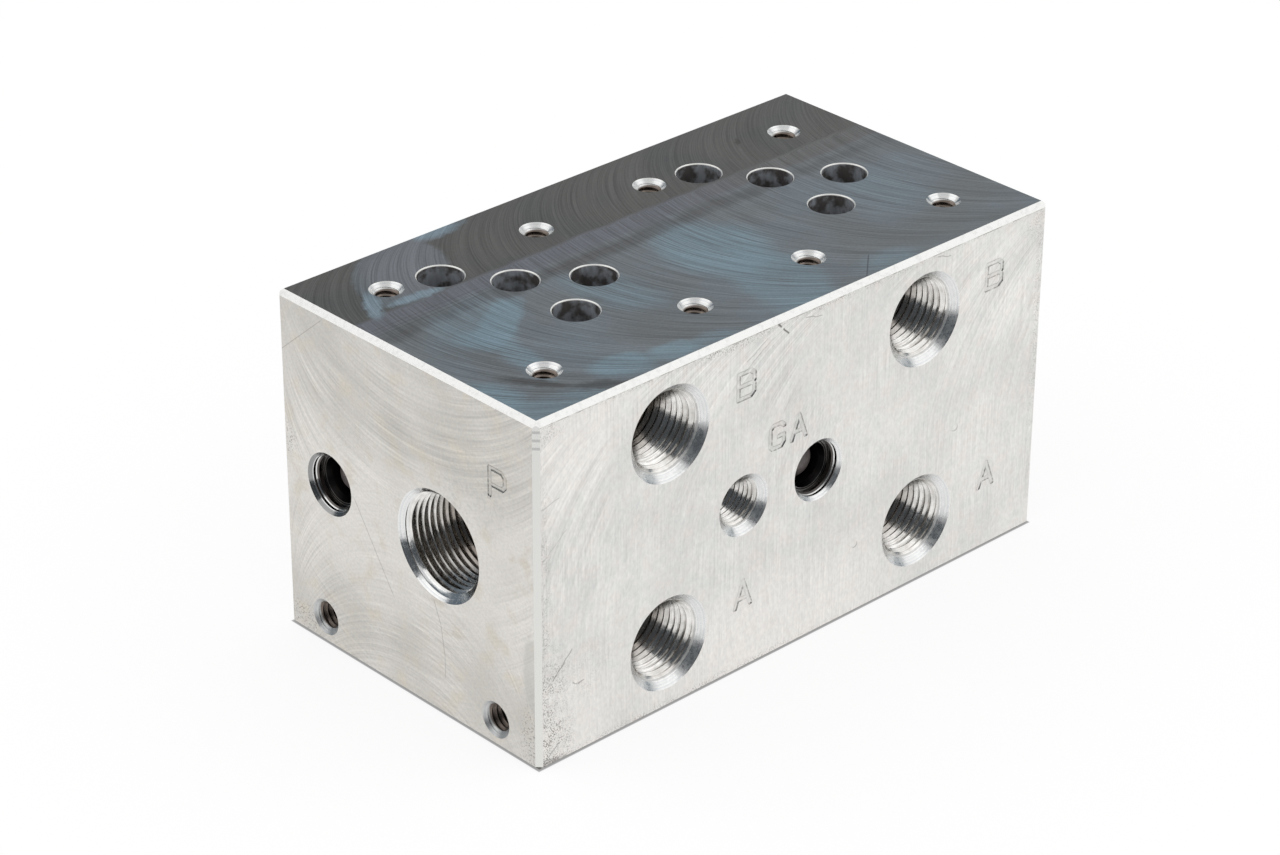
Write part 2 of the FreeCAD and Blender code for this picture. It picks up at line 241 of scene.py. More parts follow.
def holes_of(mount):
    """The mouths of a mount's holes and the way into them."""
    into = -Vector(mount["axis"])
    if mount["kind"] != "bolt_pattern":
        return [mouth_of(mount["pos_m"], into)], into
    sizes = mount["dims"]
    first, second = [side for side in range(3) if abs(into[side]) < 0.5]
    holes = []
    for along in (-0.5, 0.5):
        for across in (-0.5, 0.5) if "spacing_y_mm" in sizes else (0,):
            place = Vector(mount["pos_m"])
            place[first] += along * sizes["spacing_x_mm"] * MM
            place[second] += across * sizes.get("spacing_y_mm", 0) * MM
            holes.append(mouth_of(place, into))
    return holes, into


def countersink(places, into, mouth, lead, lead_depth, seat, depth, sides):
    """Opens holes of one size with a fine cutter that shaves the coarser walls of the model."""
    sizes = {
        "Into": into,
        "Mouth Radius": (mouth + SHAVING) * MM,
        "Lead Radius": (lead + SHAVING) * MM,
        "Lead Depth": lead_depth * MM,
        "Seat Radius": (seat + SHAVING) * MM,
        "Depth": depth * MM,
        "Sides": sides,
    }
    combine(block, grown("countersink", countersinks, places, sizes), "DIFFERENCE")


SHAVING = 0.02
BELOW_CONE = 0.4
EAST, NORTH, UP = Vector((1, 0, 0)), Vector((0, 1, 0)), Vector((0, 0, 1))
countersinks = countersink_tree()
# For each drill radius: the radius of the mouth and the sides of its cutter.
mouth_of_drill = {
    8.95: (12, 112), 11.7: (14, 128), 5.55: (7.8, 88), 3.3: (4.6, 64), 2.55: (4.1, 56)
}
# The drill radius of each mount that has holes, the mouths of its holes and the way into them.
drilled = []
for mount in frame["record"]["mounts"]:
    drill = mount["dims"].get("r_mm") or mount["dims"].get("hole_r_mm")
    if drill:
        drilled.append((drill, *holes_of(mount)))
for drill, places, into in drilled:
    mouth, sides = mouth_of_drill[drill]
    cone = mouth - drill
    countersink(places, into, mouth, drill, cone, drill, cone + BELOW_CONE, sides)
valve_ports = []
for opening in frame["record"]["physics"]["openings"]:
    start, end = opening["box_m"]
    valve_ports.append(mouth_of([(first + last) / 2 for first, last in zip(start, end)], -UP))
PORT_MOUTH, PORT_RADIUS, REAMED_DEPTH = 5.8, 5.55, 11.0
port_cone = PORT_MOUTH - PORT_RADIUS
countersink(valve_ports, -UP, PORT_MOUTH, PORT_RADIUS, port_cone, PORT_RADIUS, REAMED_DEPTH, 72)
PLUG_MOUTH, PLUG_LEAD, PLUG_LEAD_DEPTH, PLUG_SEAT, PLUG_RIM_DEPTH = 7.9, 7.0, 1.6, 6.45, 3.6
plug_mouths = {}
for plug, into in (("side_plug", NORTH), ("left_end_plug", EAST), ("right_end_plug", -EAST)):
    start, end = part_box(plug + "_ball")
    plug_mouths[plug] = (mouth_of((start + end) / 2, into), into)
for place, into in plug_mouths.values():
    countersink(
        [place], into, PLUG_MOUTH, PLUG_LEAD, PLUG_LEAD_DEPTH, PLUG_SEAT, PLUG_RIM_DEPTH - 0.05, 96
    )


# The threads
# Taper pipe threads in the oil ports and coarse machine threads in the screw holes, cut by taps.
# Each tap is a solid with one helical ridge, set in all holes of its size and cut out of the block.
def tap_tree():
    """A tap built from a grid wound round its axis, with four lines of points to each turn."""
    sizes = ("Pitch", "Root Radius", "Crest Radius", "Drill Radius", "Taper", "Depth")
    tree, given = tool_tree("tap", sizes)
    pitch, root_radius, crest_radius, drill_radius, taper, full_depth = map(given.get, sizes)
    lines_per_turn = 4
    crest_width = 0.06
    start = product(tree, pitch, -2)
    whole = less(tree, full_depth, start)
    turns = calc(tree, "CEIL", calc(tree, "DIVIDE", whole, pitch))
    rows = calc(tree, "MULTIPLY_ADD", turns, lines_per_turn, lines_per_turn + 3)
    grid, row, around = flat_grid(tree, given, rows)

    line = less(tree, row, 1)
    turn = calc(tree, "FLOOR", calc(tree, "DIVIDE", line, lines_per_turn))
    step = less(tree, line, product(tree, turn, lines_per_turn))
    on_ridge = calc(tree, "GREATER_THAN", step, 1.5)
    second = less(tree, step, product(tree, on_ridge, 2))
    flat = calc(tree, "MULTIPLY_ADD", second, crest_width, around)
    within = calc(tree, "MULTIPLY_ADD", on_ridge, 0.5, flat)
    passed = total(tree, less(tree, turn, 1), within)
    place = calc(tree, "MULTIPLY_ADD", passed, pitch, start)
    depth = smallest(tree, largest(tree, place, start), full_depth)

    from_start = calc(tree, "DIVIDE", less(tree, depth, start), pitch)
    to_end = calc(tree, "DIVIDE", less(tree, full_depth, depth), pitch)
    fade = smallest(tree, from_start, to_end, 1)
    narrowing = product(tree, taper, depth)
    core = largest(tree, less(tree, crest_radius, narrowing), drill_radius)
    root = less(tree, root_radius, narrowing)
    height = largest(tree, less(tree, root, core), 0)
    lift = product(tree, height, on_ridge, fade)
    after_first = calc(tree, "GREATER_THAN", row, 0.5)
    before_last = calc(tree, "LESS_THAN", row, less(tree, rows, 1.5))
    radius = product(tree, total(tree, core, lift), after_first, before_last)
    wind_into_holes(tree, given, grid, around, radius, depth)
    return tree


PIPE_TAPER = 1 / 32
INCH = 25.4
WALL_SHAVING = 0.012
taps = tap_tree()
# For each drill radius: the thread, its pitch, root and crest radii, taper, depth and sides.
thread_of_drill = {
    8.95: ("half_inch_pipe", INCH / 14, 10.1, 9.16, PIPE_TAPER, 20.0, 72),
    11.7: ("three_quarter_pipe", INCH / 14, 13.15, 11.83, PIPE_TAPER, 21.5, 88),
    5.55: ("quarter_pipe", INCH / 18, 6.42, 5.68, PIPE_TAPER, 14.5, 56),
    3.3: ("mounting_screw", INCH / 18, 3.97, 3.3, 0.0, 15.5, 36),
    2.55: ("valve_screw", INCH / 20, 3.175, 2.55, 0.0, 16.0, 32),
}
for drill, places, into in drilled:
    thread, pitch, root, crest, taper, depth, sides = thread_of_drill[drill]
    sizes = {
        "Into": into,
        "Pitch": pitch * MM,
        "Root Radius": root * MM,
        "Crest Radius": crest * MM,
        "Drill Radius": (drill + WALL_SHAVING) * MM,
        "Taper": taper,
        "Depth": depth * MM,
        "Sides": sides,
    }
    combine(block, grown(thread, taps, places, sizes), "DIFFERENCE")


# The port marks
# Plain letters sunk beside the ports with a round-nosed cutter, so that a fitter knows which is
# which. The place of the maker's own stamp is left bare.
MARK_DEPTH = 0.3
NOSE_RADIUS = 0.95
stroke_half = math.sqrt(2 * NOSE_RADIUS * MARK_DEPTH - MARK_DEPTH**2)
# Strokes of each letter in a unit square, from its lower left corner.
LETTERS = {
    "A": [[(0, 0), (0.5, 1), (1, 0)], [(0.16, 0.3), (0.84, 0.3)]],
    "B": [
        [
            (0, 0), (0.78, 0), (1, 0.14), (1, 0.4), (0.9, 0.5),
            (1, 0.6), (1, 0.86), (0.78, 1), (0, 1), (0, 0),
        ],
        [(0, 0.5), (0.9, 0.5)],
    ],
    "G": [
        [
            (1, 0.86), (0.78, 1), (0.2, 1), (0, 0.86), (0, 0.14),
            (0.2, 0), (0.8, 0), (1, 0.16), (1, 0.46),
        ],
        [(1, 0.46), (0.62, 0.46)],
    ],
    "P": [[(0, 0), (0, 1), (0.8, 1), (1, 0.86), (1, 0.54), (0.82, 0.4), (0, 0.4)]],
}


def stroke_bar(start, end):
    """A round bar with ball ends that the cutter sweeps from one point to another."""
    bar = bmesh.new()
    bmesh.ops.create_uvsphere(bar, u_segments=48, v_segments=17, radius=NOSE_RADIUS * MM)
    way = end - start
    for vertex in bar.verts:
        if vertex.co.z > 0:
            vertex.co.z += way.length
    bar.transform(Matrix.Translation(start) @ way.to_track_quat("Z", "Y").to_matrix().to_4x4())
    mesh = bpy.data.meshes.new("stroke")
    bar.to_mesh(mesh)
    bar.free()
    return in_scene("stroke", mesh)


def stamp(letter, corner, right, up, width, height):
    """Sinks a letter whose outline starts at a corner of its box and runs right and up."""
    lift = right.cross(up) * (NOSE_RADIUS - MARK_DEPTH)
    cutter = None
    for stroke in LETTERS[letter]:
        places = []
        for across, above in stroke:
            from_left = stroke_half + across * (width - 2 * stroke_half)
            from_base = stroke_half + above * (height - 2 * stroke_half)
            places.append(corner + (right * from_left + up * from_base + lift) * MM)
        for start, end in zip(places, places[1:]):
            bar = stroke_bar(start, end)
            if cutter is None:
                cutter = bar
            else:
                combine(cutter, bar, "UNION")
    combine(block, cutter, "DIFFERENCE")


# Each mark's letter, how far it lies from the near corner, how deep its base, its width and height.
for letter, left, base, width, height in (
    ("B", 60.5, 17.2, 6.4, 7.8),
    ("G", 71.1, 34.0, 5.8, 7.4),
    ("A", 78.1, 34.0, 5.9, 7.4),
    ("A", 60.6, 72.2, 6.3, 8.2),
    ("B", 143.3, 17.4, 6.6, 7.9),
    ("A", 144.1, 72.0, 6.3, 7.8),
):
    corner = Vector((low.x + left * MM, low.y, high.z - base * MM))
    stamp(letter, corner, EAST, UP, width, height)
corner = Vector((low.x, high.y - 72.8 * MM, high.z - 24.2 * MM))
stamp("P", corner, -NORTH, UP, 6.4, 8.2)


# The milled finish
# Every face keeps the arcs of the face mill that cut it. The bright sides are lightly brushed and
# scuffed, the ends and the valve face are painted darker greys for shade, the valve face with
# coolant stains, and the bevels and bores shine, with painted shade deep in the holes.
def paint(tone):
    """A tone's socket as it is, or a shader colour from its screen values of 0 to 255."""
    if isinstance(tone, bpy.types.NodeSocket):
        return tone
    shares = [value / 255 for value in tone]
    return (*(((s + 0.055) / 1.055) ** 2.4 if s > 0.04 else s / 12.92 for s in shares), 1)


# A place on a face is given in millimetres across and down from its upper left corner.
HALF_LENGTH, HALF_WIDTH, HEIGHT = high / MM


def vector_calc(tree, operation, *values):
    """The vector that one Vector Math node gives, or the number where it measures a length."""
    made = add_node(tree, "ShaderNodeVectorMath", dict(enumerate(values)), operation=operation)
    return made["Value" if operation == "LENGTH" else "Vector"]


def metal_finish(name, roughness):
    """A bare metal with its node tree, its shader and each point's place in millimetres."""
    finish = bpy.data.materials.new(name)
    finish.use_nodes = True
    tree = finish.node_tree
    shader = tree.nodes["Principled BSDF"]
    fill(tree, shader, {"Metallic": 1, "Roughness": roughness})
    in_metres = add_node(tree, "ShaderNodeTexCoord")["Object"]
    return finish, tree, shader, vector_calc(tree, "MULTIPLY", in_metres, (1000, 1000, 1000))


def axes_of(tree, place):
    """The three coordinates of a place."""
    return add_node(tree, "ShaderNodeSeparateXYZ", {0: place})


def depths_of(tree, place):
    """How far a place lies in from the nearer end, from the nearer long side and from the top."""
    x, y, z = axes_of(tree, place)
    from_ends = less(tree, HALF_LENGTH, calc(tree, "ABSOLUTE", x))
    from_sides = less(tree, HALF_WIDTH, calc(tree, "ABSOLUTE", y))
    return from_ends, from_sides, less(tree, HEIGHT, z)


def noise(tree, place, scale, detail=2, stretch=(1, 1, 1), seed=0):
    """Cloudy noise from 0 to 1, with its grains drawn out where a stretch is below 1."""
    moves = {"Vector": place, "Location": (seed, seed, seed), "Scale": stretch}
    moved = add_node(tree, "ShaderNodeMapping", moves)[0]
    cloud = {"Vector": moved, "Scale": scale, "Detail": detail}
    return add_node(tree, "ShaderNodeTexNoise", cloud)[0]


def ramp(tree, value, start, end, low_result=0, high_result=1, smooth=True):
    """A value taken from one range to another."""
    sockets = {0: value, 1: start, 2: end, 3: low_result, 4: high_result}
    course = "SMOOTHSTEP" if smooth else "LINEAR"
    return add_node(tree, "ShaderNodeMapRange", sockets, interpolation_type=course)[0]


def band(tree, value, start, end, edge):
    """1 between two limits of a value and 0 outside them, over a soft edge."""
    rise = ramp(tree, value, start - edge, start + edge)
    return product(tree, rise, ramp(tree, value, end - edge, end + edge, 1, 0))


def mixed(tree, share, first, second):
    """Two colours, each a socket or three screen values, mixed by a share."""
    sockets = {0: share, 6: paint(first), 7: paint(second)}
    return add_node(tree, "ShaderNodeMix", sockets, data_type="RGBA")[2]


def overlay(tree, colour, mask, share, tone):
    """A colour with a tone laid over it by a share where a mask is 1."""
    return mixed(tree, product(tree, mask, share), colour, tone)


def between(tree, share, first, second):
    """Two values mixed by a share."""
    return calc(tree, "MULTIPLY_ADD", share, less(tree, second, first), first)


def shaken(tree, place, size, scale, detail=2):
    """A place moved about by noise, which makes the edge of any patch drawn on it ragged."""
    cloud = {"Vector": place, "Scale": scale, "Detail": detail}
    cloud = add_node(tree, "ShaderNodeTexNoise", cloud)["Color"]
    centred = vector_calc(tree, "SUBTRACT", cloud, (0.5, 0.5, 0.5))
    return vector_calc(tree, "ADD", place, vector_calc(tree, "MULTIPLY", centred, (size, size, 0)))


def lying_at(tree, sheet, centre, turn, size):
    """A face's places as a mark on it has them: from its centre, turned with it, in its sizes."""
    moves = {"Vector": sheet, "Location": (*centre, 0), "Rotation": (0, 0, turn), "Scale": size}
    return add_node(tree, "ShaderNodeMapping", moves, vector_type="TEXTURE")[0]


def patch(tree, sheet, centre, size, turn, edge):
    """1 inside an oval of a face and 0 outside it, over a soft edge."""
    own = lying_at(tree, sheet, centre, math.radians(turn), (*size, 1000))
    return ramp(tree, vector_calc(tree, "LENGTH", own), 1 - edge, 1 + edge, 1, 0)


def line_mark(tree, sheet, start, end, width):
    """1 along a thin straight mark of a face, fading over its width."""
    length = math.dist(start, end)
    turn = math.atan2(end[1] - start[1], end[0] - start[0])
    centre = [(first + last) / 2 for first, last in zip(start, end)]
    along, off, _ = axes_of(tree, lying_at(tree, sheet, centre, turn, (1, 1, 1)))
    near = ramp(tree, calc(tree, "ABSOLUTE", off), 0, width, 1, 0)
    within = ramp(tree, calc(tree, "ABSOLUTE", along), length * 0.4, length * 0.5, 1, 0)
    return product(tree, near, within)


def arc_travel(tree, along, across, centre, radius, side):
    """How far a face mill had travelled when it cut each point: equal along each of its arcs."""
    off = less(tree, across, centre)
    inside = largest(tree, less(tree, radius**2, product(tree, off, off)), 0)
    return calc(tree, "MULTIPLY_ADD", calc(tree, "SQRT", inside), side, along)


def mill_lines(tree, travel, across, seed, fine, coarse, broad_share):
    """The crisp fine lines and the soft coarse lines of a milled face, from 0 to 1."""
    run = vector_of(tree, travel, across, seed)
    small = ramp(tree, noise(tree, run, fine, 3, (1, 0.02, 1)), 0.3, 0.7, smooth=False)
    broad = ramp(tree, noise(tree, run, coarse, 2, (1, 0.08, 1)), 0.3, 0.7, smooth=False)
    return between(tree, broad_share, small, broad)


def grain(tree, height, depth):
    """The slopes of lines cut into a finish, of a depth in millimetres."""
    cut = {"Strength": 1, "Distance": depth * MM, "Height": height}
    return add_node(tree, "ShaderNodeBump", cut)[0]


def shade_by(tree, colour, value, amount):
    """A colour made lighter and darker by a value about one half."""
    share = calc(tree, "MULTIPLY_ADD", less(tree, value, 0.5), amount, 1)
    return vector_calc(tree, "MULTIPLY", colour, vector_of(tree, share, share, share))


def valve_face_finish():
    """The top face: painted a dark grey, bluish in front, as shade from the dark room it reflects,
    with dried coolant and rub marks.
    """
    finish, tree, shader, place = metal_finish("valve_face", 0.36)
    x, y, _ = axes_of(tree, place)
    across = total(tree, x, HALF_LENGTH)
    down = less(tree, HALF_WIDTH, y)
    sheet = vector_of(tree, across, down)
    wavy = shaken(tree, sheet, 7, 0.09, 4)
    torn = shaken(tree, sheet, 2.4, 0.5, 5)

    # The face is the same metal as the sides: these dark greys are painted shade.
    cloud = noise(tree, sheet, 0.045, 4, seed=3)
    front = mixed(tree, ramp(tree, cloud, 0.35, 0.68), (110, 116, 120), (115, 126, 134))
    back = mixed(tree, ramp(tree, cloud, 0.4, 0.7), (89, 90, 88), (81, 83, 84))
    strip = mixed(tree, ramp(tree, across, 95, 130), (106, 110, 118), (102, 103, 104))
    pass_edge = total(tree, down, product(tree, noise(tree, sheet, 0.12, 3), 1.6))
    in_front_pass = ramp(tree, pass_edge, 26.8, 28.4)
    colour = mixed(tree, in_front_pass, back, strip)
    overlap = ramp(tree, pass_edge, 32.5, 35.5)
    colour = mixed(tree, overlap, colour, front)
    dark_pass = patch(tree, wavy, (60, 36.5), (95, 2.6), 0, 0.6)
    colour = overlay(tree, colour, dark_pass, 0.8, (88, 90, 92))

    # Each patch's centre, size, turn, softness of edge and share.
    blue_patches = (
        ((26.5, 48), (13, 4.4), -34, 0.25, 0.85),
        ((20, 43.5), (15, 8), -28, 0.5, 0.4),
        ((19, 52), (7, 5), 20, 0.35, 0.8),
        ((18.5, 63), (3.6, 12), 12, 0.5, 0.7),
        ((56, 53), (7.5, 13), -18, 0.35, 0.5),
        ((88, 53), (12.5, 15), 6, 0.35, 0.85),
        ((88, 76), (10, 17), 16, 0.35, 0.7),
        ((1.5, 74), (5.5, 8), 0, 0.4, 0.9),
        ((9, 85), (13, 5), 10, 0.4, 0.6),
        ((33, 81.5), (8, 4.5), 15, 0.35, 0.85),
        ((46, 84), (5, 4.5), 0, 0.35, 0.75),
        ((55, 86), (7, 3.5), 0, 0.4, 0.5),
        ((114, 85), (8, 5), 0, 0.5, 0.5),
        ((141, 58), (10, 12), 10, 0.6, 0.22),
    )
    back_travel = arc_travel(tree, across, down, 37, 41, 1)
    front_travel = arc_travel(tree, across, down, 40, 56, 1)
    travel = between(tree, in_front_pass, back_travel, front_travel)
    lines = mill_lines(tree, travel, down, 1, 2.2, 0.3, 0.2)
    streaks = total(tree, lines, noise(tree, wavy, 0.2, 4, seed=4))
    streaked = ramp(tree, streaks, 0.55, 1.1, 0.5, 1)
    for centre, size, turn, edge, share in blue_patches:
        covered = product(tree, patch(tree, wavy, centre, size, turn, edge), streaked)
        colour = overlay(tree, colour, covered, share, (124, 147, 160))

    stain = largest(
        tree,
        patch(tree, torn, (26, 13.5), (11, 17), 48, 0.08),
        patch(tree, torn, (44, 1), (12, 4.4), 0, 0.12),
    )
    film = patch(tree, wavy, (30, 12), (13, 17), 40, 0.3)
    stained = mixed(tree, film, (104, 114, 121), (116, 121, 128))
    colour = overlay(tree, colour, stain, 0.9, stained)
    bright_rims = (
        ((10.5, 22), (2, 6.5), 30),
        ((21, 25), (7.5, 1.5), 4),
        ((46, 2), (6, 2.4), 0),
    )
    for centre, size, turn in bright_rims:
        rim = patch(tree, torn, centre, size, turn, 0.4)
        colour = overlay(tree, colour, rim, 0.8, (136, 157, 171))

    rub = largest(
        tree,
        patch(tree, torn, (13, 75), (1.6, 8.5), -35, 0.6),
        patch(tree, torn, (23, 85), (7.5, 1.9), 32, 0.6),
    )
    colour = overlay(tree, colour, rub, 0.72, (62, 60, 59))
    knock = patch(tree, torn, (134, 14), (2.2, 0.7), -50, 0.6)
    colour = overlay(tree, colour, knock, 0.8, (60, 58, 57))
    scratch = line_mark(tree, sheet, (103, 88), (112.5, 79.5), 0.28)
    colour = overlay(tree, colour, scratch, 0.7, (56, 60, 66))
    feed_marks = (
        ((0, 31.6), (36, 31.4)),
        ((0, 33), (37, 32.9)),
        ((0, 34.3), (40, 34.2)),
        ((40, 36.4), (76, 36.2)),
    )
    for start, end in feed_marks:
        line = line_mark(tree, sheet, start, end, 0.3)
        colour = overlay(tree, colour, line, 0.4, (70, 71, 74))

    colour = shade_by(tree, colour, lines, 0.75)
    colour = shade_by(tree, colour, noise(tree, sheet, 1.6, 3, seed=8), 0.35)
    normals = grain(tree, lines, 0.004)
    fill(tree, shader, {"Base Color": colour, "Normal": normals})
    return finish


# How far past the foot of a side the brush lines of the underside start, in millimetres.
UNDERSIDE_OFFSET = 90


def side_finish(name, across_axis, seed):
    """A pale brushed side; across_axis is 0 for a long side and 1 for an end."""
    finish, tree, shader, place = metal_finish(name, 0.34)
    axes = axes_of(tree, place)
    from_ends, from_sides, down = depths_of(tree, place)
    if across_axis == 0:
        across = total(tree, axes[0], HALF_LENGTH)
        sunk_in = from_sides
    else:
        across = less(tree, HALF_WIDTH, axes[1])
        sunk_in = from_ends
    beneath = calc(tree, "LESS_THAN", axes[2], 0.02)
    spread = less(tree, UNDERSIDE_OFFSET, axes[1])
    down = calc(tree, "MULTIPLY_ADD", beneath, spread, down)
    sheet = vector_of(tree, across, down, seed)
    in_front = calc(tree, "LESS_THAN", axes[1 - across_axis], 0)
    in_front = product(tree, in_front, less(tree, 1, beneath))
    return finish, tree, shader, across, down, sheet, sunk_in, in_front


def marked(tree, colour, sunk_in, sheet):
    """A colour with dirt and painted shade in the port marks, most on their right and lower walls.
    """
    # Walls that face up or left are darkened most: painted shade, with dirt.
    facing = axes_of(tree, add_node(tree, "ShaderNodeNewGeometry")["Normal"])
    up_or_left = less(tree, facing[2], facing[0])
    wall_share = ramp(tree, up_or_left, -0.1, 0.5, 0.25, 1)
    dirt_and_shade_in_mark = product(tree, band(tree, sunk_in, 0.03, 0.2, 0.03), wall_share)
    floor_share = product(tree, ramp(tree, sunk_in, 0.08, 0.2), 0.14)
    dirt_and_shade_in_mark = largest(tree, dirt_and_shade_in_mark, floor_share)
    worn = ramp(tree, noise(tree, sheet, 1.3, 3, seed=70), 0.35, 0.6, 0.25, 0.75)
    return mixed(tree, product(tree, dirt_and_shade_in_mark, worn), colour, (118, 116, 112))


def work_side_finish():
    """The long sides: bright, with upright brush lines, a few mill arcs, scuffs and small nicks."""
    finish, tree, shader, across, down, sheet, sunk_in, in_front = side_finish("long_sides", 0, 5)
    cloud = noise(tree, sheet, 0.06, 4)
    tint = noise(tree, sheet, 0.3, 5, seed=40)
    colour = mixed(tree, ramp(tree, cloud, 0.3, 0.7), (219, 218, 215), (229, 228, 224))
    colour = mixed(tree, ramp(tree, tint, 0.5, 0.7, 0, 0.5), colour, (228, 220, 215))
    colour = mixed(tree, ramp(tree, tint, 0.5, 0.32, 0, 0.45), colour, (215, 219, 215))
    clean = 0
    for centre, size, edge in (
        ((76, 82), (34, 14), 0.6),
        ((8, 6), (16, 14), 0.6),
        ((9, 80), (15, 13), 0.5),
    ):
        clean = largest(tree, clean, patch(tree, sheet, centre, size, 0, edge))
    colour = overlay(tree, colour, clean, 0.8, (236, 233, 229))

    brush = ramp(tree, noise(tree, sheet, 2, 3, (1, 0.03, 1)), 0.3, 0.7, smooth=False)
    brushed = ramp(tree, noise(tree, sheet, 0.05, 3, seed=90), 0.4, 0.6, 0.3, 1)
    colour = mixed(tree, brushed, colour, shade_by(tree, colour, brush, 0.16))
    travel = arc_travel(tree, across, down, 62, 64, 1)
    arcs = mill_lines(tree, travel, down, 6, 1.3, 0.35, 0.4)
    arc_share = ramp(tree, noise(tree, sheet, 0.04, 3, seed=11), 0.38, 0.56)
    arc_share = product(tree, arc_share, ramp(tree, down, 60, 12, 0.3, 1))
    colour = mixed(tree, arc_share, colour, shade_by(tree, colour, arcs, 0.34))
    pits = noise(tree, sheet, 1.4, 4, (1, 0.6, 1), seed=61)
    colour = shade_by(tree, colour, pits, 0.32)

    torn = shaken(tree, sheet, 0.9, 0.6, 5)
    speck = noise(tree, sheet, 3.4, 4, (1, 0.7, 1), seed=23)
    gathered = noise(tree, sheet, 0.35, 3, seed=27)
    spots = product(tree, ramp(tree, speck, 0.5, 0.6), ramp(tree, gathered, 0.35, 0.6, 0.3, 1))
    # Each scuff's centre, size, turn and share.
    scuffs = (
        ((1, 83), (8, 10), 0, 0.95),
        ((0, 50), (3.5, 40), 0, 0.5),
        ((3, 70), (5, 11), 0, 0.7),
        ((10, 68), (11, 8), 0, 0.2),
        ((2, 2), (6, 4), 0, 0.5),
        ((60, 1.2), (14, 2), 0, 0.7),
        ((98, 1), (30, 1.4), 0, 0.6),
        ((25, 1), (30, 1.1), 0, 0.4),
        ((145, 1), (20, 1), 0, 0.4),
        ((162, 3), (5, 6), 0, 0.4),
        ((40, 88.5), (50, 1.8), 0, 0.5),
        ((163.5, 30), (2, 40), 0, 0.4),
    )
    covered = 0
    for centre, size, turn, share in scuffs:
        scuff = product(tree, patch(tree, torn, centre, size, turn, 0.6), share)
        covered = largest(tree, covered, scuff)
    colour = mixed(tree, product(tree, covered, spots, in_front), colour, (128, 124, 119))
    corner_dirt = product(tree, patch(tree, torn, (2.5, 88.1), (5.5, 1.2), 0, 0.6), in_front)
    dirt_share = ramp(tree, speck, 0.35, 0.6, 0.25, 0.85)
    colour = overlay(tree, colour, corner_dirt, dirt_share, (118, 115, 112))
    # Each nick's start and end, its width and its share.
    nicks = (
        ((10.2, 69.4), (11.7, 70.6), 0.3, 0.5),
        ((73.3, 1.3), (74.6, 2.6), 0.42, 0.9),
        ((75, 3), (77, 5), 0.4, 0.9),
        ((63.4, 7.9), (70.6, 3.6), 0.16, 0.45),
        ((65, 8.6), (72.4, 4), 0.14, 0.4),
        ((82, 2.6), (88, 4.2), 0.2, 0.5),
        ((126, 1.8), (131, 3.4), 0.2, 0.5),
        ((0.5, 22), (7, 20.5), 0.16, 0.4),
        ((0.5, 36), (9, 29), 0.12, 0.35),
        ((4.2, 66.9), (10.5, 60.2), 0.24, 0.6),
        ((11.7, 70.6), (13.8, 70), 0.3, 0.5),
        ((1.5, 87), (6.5, 83.5), 0.3, 0.5),
        ((118, 66), (132, 70), 0.1, 0.35),
    )
    for start, end, width, share in nicks:
        mark = product(tree, line_mark(tree, torn, start, end, width), in_front)
        colour = overlay(tree, colour, mark, share, (84, 82, 80))
    # Each dent is a dark crescent on one wall of a small hollow: painted shade.
    for centre, size, turn in (((134.6, 50.4), (1.6, 1.1), 30), ((101, 69.8), (1, 0.9), 0)):
        hollow = patch(tree, sheet, centre, size, turn, 0.2)
        floor = patch(tree, sheet, (centre[0] - 0.25, centre[1] - 0.25), size, turn, 0.2)
        dent_shade = product(tree, largest(tree, less(tree, hollow, floor), 0), in_front)
        colour = overlay(tree, colour, dent_shade, 0.6, (130, 128, 124))
    burr = band(tree, down, 1.25, 1.5, 0.12)
    burr = product(tree, burr, ramp(tree, noise(tree, sheet, 0.5, 4), 0.42, 0.6, 0.1, 0.6))
    colour = mixed(tree, burr, colour, (120, 118, 114))
    colour = marked(tree, colour, sunk_in, sheet)
    normals = grain(tree, between(tree, 0.4, brush, pits), 0.003)
    fill(tree, shader, {"Base Color": colour, "Normal": normals})
    return finish


